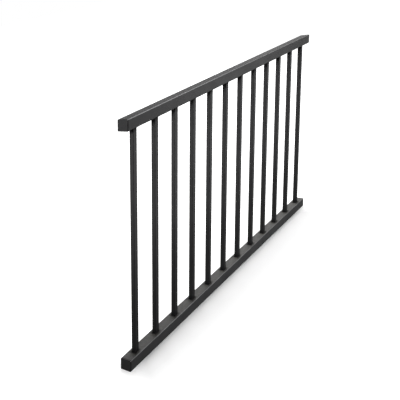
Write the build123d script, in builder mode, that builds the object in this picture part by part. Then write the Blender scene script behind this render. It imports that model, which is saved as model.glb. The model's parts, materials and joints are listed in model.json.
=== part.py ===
"""Raked aluminium stair railing panel.

Two parallel rectangular-tube rails follow the slope of the stair. Plumb
square-tube balusters pass through punched holes into both rails, and a push-in
cap closes each plumb-cut rail end. Millimetres, +Z up, +X up the stair. The
origin is the middle of the outer face of the bottom rail's lower cap.
"""

import os
from math import cos, radians, sin, tan

from build123d import *

# Panel
rake = 18.0  # slope of the rails above level, in degrees
panel_height = 910.0  # underside of the bottom rail to top of the top rail, plumb
baluster_count = 12
baluster_spacing = 115.0  # centre to centre, measured level
end_overhang = 52.0  # cap face to the nearest baluster's centre, measured level

# Rail tube, square to the slope
rail_width = 50.0
rail_depth = 40.0
rail_wall = 2.0
rail_corner = 3.0
rail_inner_corner = 1.0

# Baluster tube
baluster_size = 19.0
baluster_wall = 1.5
baluster_corner = 1.5
punch_clearance = 0.3  # free gap on each side of a baluster in its punched hole
head_gap = 3.0  # plumb gap above a baluster, inside the top rail

# End cap
cap_plate = 5.0  # thickness of the flush plate, measured level
cap_edge = 1.2  # rounding round its outer face
joint_bevel = 0.8  # bevel round its inner face, which leaves a fine joint line
plug_length = 22.0
plug_wall = 2.0
plug_web = 2.0
plug_clearance = 0.4  # between the plug's walls and the tube's inside
rib_radius = 1.2  # from the middle of a square rib to its corner
rib_clearance = 0.1  # between the crush ribs and the tube's inside

# Drain holes in the underside of the bottom rail
drain_diameter = 6.0

rake_angle = radians(rake)
slope = Vector(cos(rake_angle), 0, sin(rake_angle))
square_to_slope = Vector(-sin(rake_angle), 0, cos(rake_angle))
plumb_stretch = 1 / cos(rake_angle)  # a size square to the slope, as it measures plumb

panel_length = 2 * end_overhang + (baluster_count - 1) * baluster_spacing
rail_plumb_depth = rail_depth * plumb_stretch
rail_rise = panel_height - rail_plumb_depth  # plumb, between the axes of the two rails
bore_width = rail_width - 2 * rail_wall
bore_depth = rail_depth - 2 * rail_wall
baluster_places = [end_overhang + n * baluster_spacing for n in range(baluster_count)]
drained_bays = [0, (baluster_count - 1) // 2, baluster_count - 2]


def axis_point(axis_height, x):
    """The point of a rail's axis that lies x up the stair, measured level."""
    return Vector(x, 0, axis_height + x * tan(rake_angle))


def section_plane(axis_height, x):
    """The plane square to a rail's axis, with its own x across the rail."""
    return Plane(origin=axis_point(axis_height, x), x_dir=(0, 1, 0), z_dir=slope)


def plumb_plane(x, facing):
    """A plane across the panel at x, facing up the stair for 1 and down it for -1."""
    return Plane(origin=(x, 0, 0), x_dir=(0, 1, 0), z_dir=(facing, 0, 0))


def make_rail(axis_height, punched_side, drained):
    """A tube sawn plumb at both ends, with its punched holes above or below the axis."""
    hole_size = baluster_size + 2 * punch_clearance
    with BuildPart() as rail:
        with BuildSketch(section_plane(axis_height, panel_length / 2)):
            RectangleRounded(rail_width, rail_depth, rail_corner)
            RectangleRounded(bore_width, bore_depth, rail_inner_corner, mode=Mode.SUBTRACT)
        extrude(amount=panel_length, both=True)
        split(bisect_by=plumb_plane(cap_plate, 1))
        split(bisect_by=plumb_plane(panel_length - cap_plate, -1))
        for x in baluster_places:
            with BuildSketch(Plane(origin=axis_point(axis_height, x))):
                Rectangle(hole_size, hole_size)
            extrude(amount=punched_side * rail_plumb_depth, mode=Mode.SUBTRACT)
        if drained:
            for bay in drained_bays:
                x = baluster_places[bay] + baluster_spacing / 2
                axis = axis_point(axis_height, x)
                with BuildSketch(Plane(origin=axis, x_dir=(0, 1, 0), z_dir=-square_to_slope)):
                    Circle(drain_diameter / 2)
                extrude(amount=rail_depth, mode=Mode.SUBTRACT)
    return rail


def make_baluster(x):
    """A plumb tube, mitred to the slope, that stands on the bottom rail's lower wall."""
    foot = axis_point(0, x) - square_to_slope * bore_depth / 2
    head = axis_point(rail_rise - head_gap, x) + square_to_slope * bore_depth / 2
    inside = baluster_size - 2 * baluster_wall
    with BuildPart() as baluster:
        with BuildSketch(Plane(origin=axis_point(-rail_plumb_depth, x))):
            RectangleRounded(baluster_size, baluster_size, baluster_corner)
            Rectangle(inside, inside, mode=Mode.SUBTRACT)
        extrude(amount=panel_height + rail_plumb_depth)
        split(bisect_by=Plane(origin=foot, z_dir=square_to_slope))
        split(bisect_by=Plane(origin=head, z_dir=-square_to_slope))
    return baluster


def plumb_faces(block, inward):
    """The plumb faces of a cap's block, the outer one first."""
    return block.faces().filter_by(Axis.X).sort_by(Axis.X, reverse=inward < 0)


def make_cap(axis_height, end_x, inward):
    """A plate flush with the tube, and a hollow plug with crush ribs that slides into it."""
    plate_back = end_x + inward * cap_plate
    plug_width = bore_width - 2 * plug_clearance
    plug_height = (bore_depth - 2 * plug_clearance) * plumb_stretch
    rib_reach = plug_clearance - rib_clearance - rib_radius
    rib_u = plug_width / 2 + rib_reach
    rib_v = plug_height / 2 + rib_reach * plumb_stretch
    pocket_width = (plug_width - plug_web) / 2 - plug_wall
    pocket_height = plug_height - 2 * plug_wall
    with BuildPart() as cap:
        with BuildSketch(section_plane(axis_height, end_x)):
            RectangleRounded(rail_width, rail_depth, rail_corner)
        extrude(amount=rail_depth, both=True)
        split(bisect_by=plumb_plane(end_x, inward))
        split(bisect_by=plumb_plane(plate_back, -inward))
        fillet(plumb_faces(cap, inward)[0].edges(), cap_edge)
        chamfer(plumb_faces(cap, inward)[-1].edges(), joint_bevel)
        root = axis_point(axis_height, plate_back)
        with BuildSketch(Plane(origin=root, x_dir=(0, 1, 0), z_dir=(inward, 0, 0))):
            Rectangle(plug_width, plug_height)
            with Locations((-rib_u, 0), (rib_u, 0)):
                RegularPolygon(rib_radius, 4)
            with GridLocations(plug_width / 2, 2 * rib_v, 2, 2):
                RegularPolygon(rib_radius, 4)
            with GridLocations((plug_width - plug_web) / 2, 0, 2, 1):
                Rectangle(pocket_width, pocket_height, mode=Mode.SUBTRACT)
        extrude(amount=plug_length, dir=slope * inward)
    return cap


bottom_rail = make_rail(0, 1, drained=True)
top_rail = make_rail(rail_rise, -1, drained=False)
pieces = {"bottom_rail": bottom_rail, "top_rail": top_rail}
for number, x in enumerate(baluster_places, start=1):
    pieces[f"baluster_{number:02d}"] = make_baluster(x)
for rail_name, axis_height in (("bottom_rail", 0), ("top_rail", rail_rise)):
    pieces[f"{rail_name}_lower_cap"] = make_cap(axis_height, 0, 1)
    pieces[f"{rail_name}_upper_cap"] = make_cap(axis_height, panel_length, -1)

os.makedirs("parts", exist_ok=True)
for name, piece in pieces.items():
    piece.part.label = name
    export_step(piece.part, f"parts/{name}.step")
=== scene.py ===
import json
import math

import bpy
from mathutils import Matrix, Vector


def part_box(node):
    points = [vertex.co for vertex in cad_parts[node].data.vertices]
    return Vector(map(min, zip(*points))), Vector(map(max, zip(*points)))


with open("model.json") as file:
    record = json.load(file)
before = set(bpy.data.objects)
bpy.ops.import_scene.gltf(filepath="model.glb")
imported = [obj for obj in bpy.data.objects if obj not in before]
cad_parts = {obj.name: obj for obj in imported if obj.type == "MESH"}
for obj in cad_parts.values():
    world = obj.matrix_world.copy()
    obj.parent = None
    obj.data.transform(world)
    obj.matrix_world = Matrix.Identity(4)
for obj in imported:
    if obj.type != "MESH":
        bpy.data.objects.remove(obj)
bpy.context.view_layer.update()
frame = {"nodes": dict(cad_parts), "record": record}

scene = bpy.context.scene
nodes = frame["nodes"]
mounts = {m["name"]: Vector(m["pos_m"]) for m in frame["record"]["mounts"]}

# the panel's own lines, read from the frame
railFoot = mounts["bottom_rail_lower_end"]
railRun = mounts["bottom_rail_upper_end"] - railFoot
rakeAngle = math.atan2(railRun.z, railRun.x)
axisHeights = {"bottom_rail": 0.0, "top_rail": mounts["top_rail_lower_end"].z - railFoot.z}
railLow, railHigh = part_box("bottom_rail")
firstLow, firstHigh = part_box("baluster_01")
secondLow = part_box("baluster_02")[0]
balusterSpacing = secondLow.x - firstLow.x
balusterSize = firstHigh.x - firstLow.x
firstBalusterX = (firstLow.x + firstHigh.x) / 2
capPlate = railLow.x - railFoot.x  # the flush plate shows between the panel's end and the tube's
print(f"frame: {len(nodes)} nodes, rake {math.degrees(rakeAngle):.1f} degrees")


# a socket is linked, a plain value is set
def plug(tree, value, target):
    if isinstance(value, bpy.types.NodeSocket):
        tree.links.new(value, target)
    else:
        target.default_value = value


# values go to the inputs in their order, settings to the input or property of that name
def addNode(tree, kind, *values, **settings):
    node = tree.nodes.new(kind)
    for key, value in settings.items():
        if key in node.inputs:
            plug(tree, value, node.inputs[key])
        else:
            setattr(node, key, value)
    for target, value in zip(node.inputs, values):
        plug(tree, value, target)
    return node


def mathNode(tree, operation, *values, clamp=False):
    settings = {"operation": operation, "use_clamp": clamp}
    return addNode(tree, "ShaderNodeMath", *values, **settings).outputs[0]


def rampNode(tree, value, low, high, fromLow=0.0, fromHigh=1.0, smooth=True):
    kind = "SMOOTHSTEP" if smooth else "LINEAR"
    node = addNode(
        tree, "ShaderNodeMapRange", value, fromLow, fromHigh, low, high, interpolation_type=kind,
    )
    return node.outputs["Result"]


def noiseNode(tree, place, scale, detail, roughness):
    settings = {"Scale": scale, "Detail": detail, "Roughness": roughness}
    return addNode(tree, "ShaderNodeTexNoise", place, **settings).outputs["Fac"]


def mixColour(tree, factor, first, second):
    node = addNode(tree, "ShaderNodeMix", data_type="RGBA", Factor=factor)
    ends = [target for target in node.inputs if target.type == "RGBA"]
    for target, value in zip(ends, (first, second)):
        plug(tree, value, target)
    return next(result for result in node.outputs if result.type == "RGBA")


def splitPlace(tree, place):
    split = addNode(tree, "ShaderNodeSeparateXYZ", place)
    return split.outputs["X"], split.outputs["Y"], split.outputs["Z"]


def emptyTree(owner):
    owner.use_nodes = True
    owner.node_tree.nodes.clear()
    return owner.node_tree


# a group takes and gives plain numbers, and the one input called Place is a point
def newGroup(name, inputs, outputs):
    group = bpy.data.node_groups.new(name, "ShaderNodeTree")
    for label in inputs:
        kind = "NodeSocketVector" if label == "Place" else "NodeSocketFloat"
        group.interface.new_socket(name=label, in_out="INPUT", socket_type=kind)
    for label in outputs:
        group.interface.new_socket(name=label, in_out="OUTPUT", socket_type="NodeSocketFloat")
    entry = group.nodes.new("NodeGroupInput")
    leave = group.nodes.new("NodeGroupOutput")
    return group, entry.outputs, leave.inputs


def placeGroup(tree, group, **values):
    return addNode(tree, "ShaderNodeGroup", node_tree=group, **values).outputs


# orange peel of a baked powder coat: soft pebbles a millimetre or so across, with a finer tooth
grainLook = {
    "pebbles": {"detail": 1.5, "roughness": 0.45},
    "tooth": {"detail": 2.0, "roughness": 0.6},
    "toothFineness": 3.7,  # teeth to a pebble
    "speckle": (0.35, 0.65),
}


def buildPowderGrain():
    group, entry, leave = newGroup(
        "powderGrain", ("Place", "Pebble", "Tooth"), ("Height", "Speckle"),
    )
    pebbleScale = mathNode(group, "DIVIDE", 1.0, entry["Pebble"])
    pebbles = noiseNode(group, entry["Place"], pebbleScale, **grainLook["pebbles"])
    toothScale = mathNode(group, "MULTIPLY", pebbleScale, grainLook["toothFineness"])
    tooth = noiseNode(group, entry["Place"], toothScale, **grainLook["tooth"])
    toothPart = mathNode(group, "MULTIPLY", tooth, entry["Tooth"])
    plug(group, mathNode(group, "ADD", pebbles, toothPart), leave["Height"])
    plug(group, rampNode(group, tooth, 0.0, 1.0, *grainLook["speckle"]), leave["Speckle"])
    return group


# where two faces of a tube meet: Corner is 1 on the rounding and fades a band's width into each
# face, where it lays a painted shade; the second output is a painted highlight on the crown of the
# one edge picked by the last input, and Corner is 0 there. The lines are this many roundings in
# from the sharp corner, across and deep together
cornerLines = {"crown": 2 - math.sqrt(2), "highlightFull": 0.64, "highlightStart": 0.82}


def buildTubeCorner():
    group, entry, leave = newGroup(
        "tubeCorner",
        ("Across", "Deep", "HalfWidth", "HalfDepth", "Rounding", "Band", "Walked"),
        ("Corner", "Highlight"),
    )
    distances = [mathNode(group, "ABSOLUTE", entry[label]) for label in ("Across", "Deep")]
    reach = mathNode(group, "ADD", *distances)
    outer = mathNode(group, "ADD", entry["HalfWidth"], entry["HalfDepth"])
    crown, highlightFull, highlightStart = (
        mathNode(group, "MULTIPLY_ADD", entry["Rounding"], -cornerLines[line], outer)
        for line in ("crown", "highlightFull", "highlightStart")
    )
    fade = mathNode(group, "ADD", entry["Rounding"], entry["Band"])
    corner = rampNode(group, reach, 0.0, 1.0, mathNode(group, "SUBTRACT", outer, fade), crown)
    unhighlighted = mathNode(group, "SUBTRACT", 1.0, entry["Walked"])
    plug(group, mathNode(group, "MULTIPLY", corner, unhighlighted), leave["Corner"])
    ridge = rampNode(group, reach, 0.0, 1.0, highlightStart, highlightFull)
    plug(group, mathNode(group, "MULTIPLY", ridge, entry["Walked"]), leave["Highlight"])
    return group


# dark dirt, and painted contact shade, where one piece meets another: full at the joint, gone by
# Width, with an edge that the noise moves to and fro
grimeNoise = {"scale": 420.0, "detail": 3.0, "roughness": 0.6}


def buildJointGrime():
    group, entry, leave = newGroup(
        "jointGrimeAndShade", ("Place", "Distance", "Width", "Ragged"), ("GrimeAndShade",),
    )
    noise = noiseNode(group, entry["Place"], **grimeNoise)
    centred = mathNode(group, "SUBTRACT", noise, 0.5)
    ragged = mathNode(group, "MULTIPLY", centred, entry["Ragged"])
    shift = mathNode(group, "MULTIPLY", ragged, entry["Width"])
    moved = mathNode(group, "ADD", entry["Distance"], shift)
    plug(group, rampNode(group, moved, 1.0, 0.0, 0.0, entry["Width"]), leave["GrimeAndShade"])
    return group


# slow drift of tone in the paint, and a faint film of dust on what faces up
filmLook = {
    "drift": {"detail": 3.0, "roughness": 0.55},
    "driftRange": (0.3, 0.7),
    "facesUp": (0.55, 0.95),  # the normal's height where dust starts to lie and where it is full
    "specks": {"detail": 4.0, "roughness": 0.65},
    "speckFineness": 14.0,  # specks to a patch
    "speckRange": (0.35, 0.7),
    "betweenSpecks": 0.6,
}


def buildYardFilm():
    group, entry, leave = newGroup("yardFilm", ("Place", "Patch"), ("Drift", "Dust"))
    patchScale = mathNode(group, "DIVIDE", 1.0, entry["Patch"])
    drift = noiseNode(group, entry["Place"], patchScale, **filmLook["drift"])
    plug(group, rampNode(group, drift, 0.0, 1.0, *filmLook["driftRange"]), leave["Drift"])
    normal = addNode(group, "ShaderNodeNewGeometry").outputs["Normal"]
    upward = rampNode(group, splitPlace(group, normal)[2], 0.0, 1.0, *filmLook["facesUp"])
    speckScale = mathNode(group, "MULTIPLY", patchScale, filmLook["speckFineness"])
    specks = noiseNode(group, entry["Place"], speckScale, **filmLook["specks"])
    patchy = rampNode(group, specks, filmLook["betweenSpecks"], 1.0, *filmLook["speckRange"])
    plug(group, mathNode(group, "MULTIPLY", upward, patchy), leave["Dust"])
    return group


powderGrain = buildPowderGrain()
tubeCorner = buildTubeCorner()
jointGrimeAndShade = buildJointGrime()
yardFilm = buildYardFilm()
print("shader groups: powderGrain, tubeCorner, jointGrimeAndShade, yardFilm")


# every coat: paint that drifts in tone, with painted shade, painted corner shade, a painted
# highlight, dust, and dirt with painted contact shade laid over it
def buildCoat(name, look, findMasks):
    material = bpy.data.materials.new(name)
    tree = emptyTree(material)
    place = addNode(tree, "ShaderNodeTexCoord").outputs["Object"]
    grain = placeGroup(tree, powderGrain, Place=place, Pebble=look["pebble"], Tooth=look["tooth"])
    film = placeGroup(tree, yardFilm, Place=place, Patch=look["patch"])
    corner, paintedHighlight, grimeAndShade, shade, settled = findMasks(tree, place, look)
    dust = mathNode(tree, "MULTIPLY", film["Dust"], settled)
    colour = mixColour(tree, film["Drift"], look["dark"], look["light"])
    for mask, show, tone in (
        (shade, "shadeShow", "grimeAndShade"),
        (corner, "cornerShow", "corner"),
        (paintedHighlight, "highlightShow", "paintedHighlight"),
        (dust, "dustShow", "dust"),
        (grimeAndShade, "grimeAndShadeShow", "grimeAndShade"),
    ):
        colour = mixColour(tree, mathNode(tree, "MULTIPLY", mask, look[show]), colour, look[tone])
    rough = rampNode(tree, grain["Speckle"], look["roughLow"], look["roughHigh"], smooth=False)
    rough = mathNode(tree, "MULTIPLY_ADD", dust, look["dustRough"], rough)
    rough = mathNode(tree, "MULTIPLY_ADD", corner, -look["cornerPolish"], rough)
    rough = mathNode(tree, "MULTIPLY_ADD", grimeAndShade, look["grimeRough"], rough, clamp=True)
    bump = addNode(
        tree, "ShaderNodeBump",
        Height=grain["Height"], Strength=look["bump"], Distance=look["relief"],
    )
    shader = addNode(
        tree, "ShaderNodeBsdfPrincipled", colour, distribution="GGX",
        Metallic=0.0, Roughness=rough, Normal=bump.outputs["Normal"],
    )
    shader.inputs["Specular IOR Level"].default_value = look["specular"]
    addNode(tree, "ShaderNodeOutputMaterial", shader.outputs["BSDF"])
    return material


def dress(nodeName, material):
    slots = nodes[nodeName].material_slots
    for slot in slots:
        slot.material = material
    if not slots:
        nodes[nodeName].data.materials.append(material)


charcoal = {
    "dark": (0.046, 0.046, 0.047, 1),
    "light": (0.056, 0.056, 0.057, 1),
    "corner": (0.010, 0.010, 0.011, 1),  # painted shade along the corners of the tubes
    "cornerShow": 0.85,
    "cornerPolish": 0.12,
    # painted highlight along the upper front edges
    "paintedHighlight": (0.23, 0.23, 0.235, 1),
    "highlightShow": 0.95,
    "dust": (0.20, 0.195, 0.185, 1),
    "dustShow": 0.05,
    "dustRough": 0.08,
    # dark tone for dirt and for painted shade
    "grimeAndShade": (0.010, 0.010, 0.010, 1),
    "grimeAndShadeShow": 0.85,
    "grimeRough": 0.15,
    "footRagged": 0.5,
    "roughLow": 0.76,
    "roughHigh": 0.90,
    "pebble": 0.0013,
    "tooth": 0.25,
    "patch": 0.12,
    "bump": 0.35,
    "relief": 0.00006,
    "specular": 0.04,
}


# a rail's own section axis: how far a point lies above or below its middle, square to the slope
def railDepthAt(tree, x, z, axisHeight):
    lift = mathNode(tree, "MULTIPLY", x, -math.sin(rakeAngle))
    height = mathNode(tree, "SUBTRACT", z, axisHeight)
    return mathNode(tree, "MULTIPLY_ADD", height, math.cos(rakeAngle), lift)


# how far x lies from the nearest baluster's middle
def bayOffset(tree, x):
    along = mathNode(tree, "SUBTRACT", x, firstBalusterX)
    return mathNode(tree, "WRAP", along, balusterSpacing / 2, -balusterSpacing / 2)


# how far x lies from the nearer end of the panel
def endDistance(tree, x):
    return mathNode(tree, "MINIMUM", x, mathNode(tree, "SUBTRACT", railRun.x, x))


def grimeAndShadeNear(tree, place, distance, width, ragged):
    values = {"Place": place, "Distance": distance, "Width": width, "Ragged": ragged}
    return placeGroup(tree, jointGrimeAndShade, **values)["GrimeAndShade"]


railLook = dict(
    charcoal,
    halfWidth=0.025, halfDepth=0.020, rounding=0.003, band=0.0009,
    highlightEdgeBlur=0.001,
    faceParts=(0.8, 0.97),  # of the half depth: where a wall's face starts and where it is full
    footGrimeAndShade=0.010,
    jointWidth=0.0013, jointRagged=0.2,
    shadeShow=0.9, shadeFade=(0.45, 1.2),
    shadePlace=(-0.010, -0.009), shadeReach=(0.020, 0.018),  # from a baluster's middle: run, across
    lowerEndStretch=(0.1, 1.1),  # the stretch of the run from the lower end over which the painted crown shade and highlight fade and the dust thickens
    # the painted shade on the crown towards the lower end, and how much painted highlight is left
    # by the upper end
    crownShade=0.33, upperHighlight=0.35,
    lowerDust=0.1, dustShow=0.105,
)


# the corners of a rail's section, with painted shade on them, and a painted highlight on the one up
# and towards the front side
def railCorners(tree, x, y, deep, look):
    blur = look["highlightEdgeBlur"]
    front = rampNode(tree, y, 1.0, 0.0, -blur, blur)
    highlightEdge = mathNode(tree, "MULTIPLY", front, rampNode(tree, deep, 0.0, 1.0, -blur, blur))
    corners = placeGroup(
        tree, tubeCorner, Across=y, Deep=deep, Walked=highlightEdge,
        HalfWidth=look["halfWidth"], HalfDepth=look["halfDepth"],
        Rounding=look["rounding"], Band=look["band"],
    )
    # the painted highlight fades up the run
    fade = rampNode(tree, x, 1.0, look["upperHighlight"], *look["lowerEndStretch"])
    return corners["Corner"], mathNode(tree, "MULTIPLY", corners["Highlight"], fade)


# dirt with painted contact shade round the foot or head of each baluster
def footGrimeAndShade(tree, place, x, y, look):
    sides = [
        mathNode(tree, "SUBTRACT", mathNode(tree, "ABSOLUTE", offset), balusterSize / 2)
        for offset in (bayOffset(tree, x), y)
    ]
    apart = mathNode(tree, "MAXIMUM", mathNode(tree, "MAXIMUM", *sides), 0.0)
    return grimeAndShadeNear(tree, place, apart, look["footGrimeAndShade"], look["footRagged"])


# a thin dark line where a cap meets the tube
def jointLine(tree, place, x, look):
    apart = mathNode(tree, "SUBTRACT", endDistance(tree, x), capPlate)
    apart = mathNode(tree, "ABSOLUTE", apart)
    return grimeAndShadeNear(tree, place, apart, look["jointWidth"], look["jointRagged"])


# painted shadow of each baluster on the rail: a soft dark patch down the slope and to the front
# side
def footShade(tree, x, y, look):
    offsets = bayOffset(tree, x), y
    steps = [
        mathNode(tree, "DIVIDE", mathNode(tree, "SUBTRACT", offset, middle), reach)
        for offset, middle, reach in zip(offsets, look["shadePlace"], look["shadeReach"])
    ]
    away = addNode(tree, "ShaderNodeCombineXYZ", *steps).outputs[0]
    length = addNode(tree, "ShaderNodeVectorMath", away, operation="LENGTH").outputs["Value"]
    return rampNode(tree, length, 1.0, 0.0, *look["shadeFade"])


def railMasks(axisHeight, punchedSide):
    def find(tree, place, look):
        x, y, z = splitPlace(tree, place)
        deep = railDepthAt(tree, x, z, axisHeight)
        corner, paintedHighlight = railCorners(tree, x, y, deep, look)
        # the dirt and painted shade at the balusters lie on the punched face only
        faceStart, faceFull = (part * look["halfDepth"] for part in look["faceParts"])
        punched = rampNode(tree, deep, 0.0, 1.0, punchedSide * faceStart, punchedSide * faceFull)
        foot = mathNode(tree, "MULTIPLY", footGrimeAndShade(tree, place, x, y, look), punched)
        grimeAndShade = mathNode(tree, "MAXIMUM", foot, jointLine(tree, place, x, look))
        patch = mathNode(tree, "MULTIPLY", footShade(tree, x, y, look), punched)
        # painted shade darkens the crown towards the lower end, and less dust lies there
        crown = rampNode(tree, deep, 0.0, look["crownShade"], faceStart, faceFull)
        dark = mathNode(tree, "MULTIPLY", crown, rampNode(tree, x, 1.0, 0.0, *look["lowerEndStretch"]))
        shade = mathNode(tree, "MAXIMUM", patch, dark)
        settled = rampNode(tree, x, look["lowerDust"], 1.0, *look["lowerEndStretch"])
        return corner, paintedHighlight, grimeAndShade, shade, settled
    return find


# the bottom rail: no painted shade on its crown, a fainter painted highlight that fades less up the
# run, and more dust, more even along it
bottomRailLook = dict(
    railLook,
    highlightShow=0.8, upperHighlight=0.6, crownShade=0.0,
    lowerDust=0.8, dustShow=0.39,
)
for railName, look, punchedSide in (
    ("bottom_rail", bottomRailLook, 1),
    ("top_rail", railLook, -1),
):
    masks = railMasks(axisHeights[railName], punchedSide)
    dress(railName, buildCoat(railName + "_coat", look, masks))
print("rails coated")

# caps: moulded in the same charcoal, finer in the grain, with painted shade on a rim round the
# outer face
capLook = dict(
    railLook,
    dark=(0.042, 0.042, 0.043, 1), light=(0.049, 0.049, 0.050, 1),
    pebble=0.0008, tooth=0.4,
    cornerShow=0.95, rimRounding=0.0012, sideRimBand=0.0020, topRimBand=0.0006,
)


def capMasks(axisHeight):
    def find(tree, place, look):
        x, y, z = splitPlace(tree, place)
        deep = railDepthAt(tree, x, z, axisHeight)
        corner, paintedHighlight = railCorners(tree, x, y, deep, look)
        inset = mathNode(tree, "SUBTRACT", capPlate, endDistance(tree, x))
        rims = [
            placeGroup(
                tree, tubeCorner, Across=reach, Deep=inset, HalfWidth=half, HalfDepth=capPlate,
                Rounding=look["rimRounding"], Band=band,
            )["Corner"]
            for reach, half, band in (
                (y, look["halfWidth"], look["sideRimBand"]),
                (deep, look["halfDepth"], look["topRimBand"]),
            )
        ]
        # the corners and the rims round the outer face take painted shade
        edge = mathNode(tree, "MAXIMUM", corner, mathNode(tree, "MAXIMUM", *rims))
        return edge, paintedHighlight, jointLine(tree, place, x, look), 0.0, 1.0
    return find


for railName, axisHeight in axisHeights.items():
    for end in ("lower", "upper"):
        capName = f"{railName}_{end}_cap"
        dress(capName, buildCoat(capName + "_coat", capLook, capMasks(axisHeight)))
print("caps coated")

# balusters: one coat for all, with their corners found from the nearest baluster's middle
balusterLook = dict(
    charcoal,
    dark=(0.043, 0.043, 0.044, 1), light=(0.054, 0.054, 0.055, 1),
    rounding=0.0015, band=0.0006, patch=0.2,
    endGrimeAndShade=0.022,
    shadeShow=0.60, lowerShade=(0.05, 0.55),
)


def balusterMasks(tree, place, look):
    x, y, z = splitPlace(tree, place)
    corners = placeGroup(
        tree, tubeCorner, Across=y, Deep=bayOffset(tree, x),
        HalfWidth=balusterSize / 2, HalfDepth=balusterSize / 2,
        Rounding=look["rounding"], Band=look["band"],
    )
    # dirt with painted contact shade where the tube enters the rails
    lower, upper = (railDepthAt(tree, x, z, height) for height in axisHeights.values())
    above = mathNode(tree, "SUBTRACT", lower, railLook["halfDepth"])
    below = mathNode(tree, "SUBTRACT", -railLook["halfDepth"], upper)
    nearest = mathNode(tree, "MAXIMUM", mathNode(tree, "MINIMUM", above, below), 0.0)
    grimeAndShade = grimeAndShadeNear(tree, place, nearest, look["endGrimeAndShade"], look["footRagged"])
    # painted shade: the tubes grow darker towards their lower part, over the first half metre above
    # the bottom rail
    lowerShade = rampNode(tree, above, 1.0, 0.0, *look["lowerShade"])
    return corners["Corner"], corners["Highlight"], grimeAndShade, lowerShade, 1.0


balusterCoat = buildCoat("baluster_coat", balusterLook, balusterMasks)
for nodeName in sorted(n for n in nodes if n.startswith("baluster")):
    dress(nodeName, balusterCoat)
print("balusters coated")


# 1 for what the camera sees, straight on, mirrored or through glass
def seenDirectly(tree):
    path = addNode(tree, "ShaderNodeLightPath").outputs
    seen = mathNode(tree, "MAXIMUM", path["Is Camera Ray"], path["Is Glossy Ray"])
    return mathNode(tree, "MAXIMUM", seen, path["Is Transmission Ray"])


# ground: a pale sheet at the pitch of the stair, just under the bottom rail, seen from above only
groundLook = {
    "size": 60.0,
    "gap": 0.0006,
    "glow": 0.20,  # low beside the rail, so a painted shadow lies there over the real one
    "frontFade": (0.0, 0.29),
    "frontRise": 0.66,
    "upperSpread": 2.8,  # the painted shadow's growth by the upper end, in its own lower widths
    "backFade": (-0.02, 0.06),
    "endFade": (-0.12, 0.11),
    "shown": (0.47, 0.47, 0.47, 1),
    "unseen": (0.18, 0.18, 0.18, 1),
}
white = (1, 1, 1, 1)


# 0 beside the bottom rail, 1 out on the open ground; the glow follows it, so a shadow is painted
# beside the rail
def openGround(tree):
    place = addNode(tree, "ShaderNodeNewGeometry").outputs["Position"]
    x, y = splitPlace(tree, place)[:2]
    spread = mathNode(tree, "MULTIPLY_ADD", x, groundLook["upperSpread"] / railRun.x, 1.0)
    before = mathNode(tree, "DIVIDE", mathNode(tree, "SUBTRACT", railLow.y, y), spread)
    before = rampNode(tree, before, 0.0, 1.0, *groundLook["frontFade"], smooth=False)
    before = mathNode(tree, "POWER", before, groundLook["frontRise"])
    behind = mathNode(tree, "SUBTRACT", y, railHigh.y)
    behind = rampNode(tree, behind, 0.0, 1.0, *groundLook["backFade"])
    beyond = mathNode(tree, "MULTIPLY", endDistance(tree, x), -1.0)
    beyond = rampNode(tree, beyond, 0.0, 1.0, *groundLook["endFade"])
    return mathNode(tree, "MAXIMUM", mathNode(tree, "MAXIMUM", before, behind), beyond)


def buildGroundCoat():
    material = bpy.data.materials.new("ground_pale")
    tree = emptyTree(material)
    seen = seenDirectly(tree)
    pale = mixColour(tree, seen, groundLook["unseen"], groundLook["shown"])
    lit = addNode(tree, "ShaderNodeBsdfDiffuse", Color=pale)
    glow = groundLook["glow"]
    level = mathNode(tree, "MULTIPLY_ADD", openGround(tree), 1.0 - glow, glow)
    strength = mathNode(tree, "MULTIPLY", seen, level)
    shining = addNode(tree, "ShaderNodeEmission", Color=white, Strength=strength)
    both = addNode(tree, "ShaderNodeAddShader", lit.outputs[0], shining.outputs[0])
    below = addNode(tree, "ShaderNodeNewGeometry").outputs["Backfacing"]
    clear = addNode(tree, "ShaderNodeBsdfTransparent")
    oneSided = addNode(tree, "ShaderNodeMixShader", below, both.outputs[0], clear.outputs[0])
    addNode(tree, "ShaderNodeOutputMaterial", oneSided.outputs[0])
    return material


def buildGround():
    half = groundLook["size"] / 2
    along = Vector((math.cos(rakeAngle), 0, math.sin(rakeAngle)))
    square = Vector((-math.sin(rakeAngle), 0, math.cos(rakeAngle)))
    middle = railFoot + railRun / 2
    underside = Vector((railLow.x, 0, railLow.z))
    middle = middle + square * ((underside - middle).dot(square) - groundLook["gap"])
    corners = [
        middle + along * (half * a) + Vector((0, half * b, 0))
        for a, b in ((-1, -1), (1, -1), (1, 1), (-1, 1))
    ]
    mesh = bpy.data.meshes.new("ground")
    mesh.from_pydata([tuple(corner) for corner in corners], [], [(0, 1, 2, 3)])
    mesh.materials.append(buildGroundCoat())
    ground = bpy.data.objects.new("ground", mesh)
    scene.collection.objects.link(ground)


buildGround()
print("ground laid")

# sky: white where it is seen or mirrored, a softer fill for the light itself
skyLook = {"seen": 1.0, "fill": 0.14}


def buildSky():
    scene.world = bpy.data.worlds.new("studio")
    tree = emptyTree(scene.world)
    more = skyLook["seen"] - skyLook["fill"]
    strength = mathNode(tree, "MULTIPLY_ADD", seenDirectly(tree), more, skyLook["fill"])
    background = addNode(tree, "ShaderNodeBackground", Color=white, Strength=strength)
    addNode(tree, "ShaderNodeOutputWorld", background.outputs[0])


buildSky()

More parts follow.
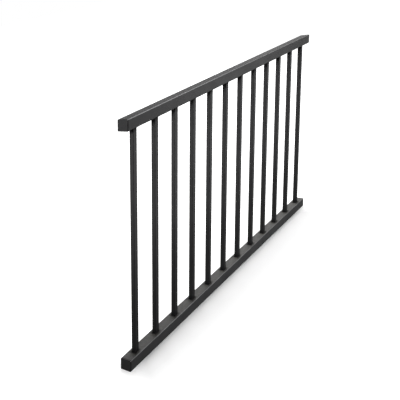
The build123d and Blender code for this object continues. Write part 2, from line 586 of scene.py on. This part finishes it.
# lamps: where they stand, what they look at, and their size, power and spread in degrees
topFoot, topHead = mounts["top_rail_lower_end"], mounts["top_rail_upper_end"]
lampLooks = {
    "overhead": {
        "place": (2.2, 1.8, 5.0), "aim": railFoot + railRun / 2,
        "size": 3.8, "power": 405.0, "spread": 180,
    },
    "frontRight": {
        "place": (1.9, -2.4, 2.3), "aim": (topFoot + topHead) / 2,
        "size": 1.4, "power": 10.5, "spread": 45,
    },
    "left": {
        "place": (-3.6, -1.3, 1.35), "aim": topFoot + Vector((0.2, 0, 0.1)),
        "size": 1.2, "power": 5.0, "spread": 28,
    },
}
for lampName, look in lampLooks.items():
    light = bpy.data.lights.new(lampName, "AREA")
    light.shape = "SQUARE"
    light.size = look["size"]
    light.energy = look["power"]
    light.spread = math.radians(look["spread"])
    lamp = bpy.data.objects.new(lampName, light)
    lamp.location = look["place"]
    lamp.rotation_euler = (look["aim"] - lamp.location).to_track_quat("-Z", "Y").to_euler()
    scene.collection.objects.link(lamp)
print("sky and lamps set")

# camera: fitted to the corners and baluster places in the photograph
cameraLook = {
    "location": (-1.3676, -1.3443, 0.8978),
    "azimuth": 306.497,
    "elevation": 8.529,
    "roll": 0.453,
    "focalPixels": 550.0,
    "imagePixels": 400.0,
    "sensor": 36.0,
}


def buildCamera():
    turn, lift, roll = (math.radians(cameraLook[k]) for k in ("azimuth", "elevation", "roll"))
    level = math.cos(lift)
    back = Vector((math.sin(turn) * level, -math.cos(turn) * level, math.sin(lift)))
    side = Vector((0, 0, 1)).cross(back).normalized()
    upright = back.cross(side)
    right = side * math.cos(roll) + upright * math.sin(roll)
    up = upright * math.cos(roll) - side * math.sin(roll)
    data = bpy.data.cameras.new("camera")
    data.sensor_width = cameraLook["sensor"]
    data.lens = cameraLook["focalPixels"] / cameraLook["imagePixels"] * cameraLook["sensor"]
    camera = bpy.data.objects.new("camera", data)
    turned = Matrix((right, up, back)).transposed().to_4x4()
    camera.matrix_world = Matrix.Translation(cameraLook["location"]) @ turned
    scene.collection.objects.link(camera)
    scene.camera = camera


buildCamera()
scene.view_settings.view_transform = "Standard"
print("camera placed")
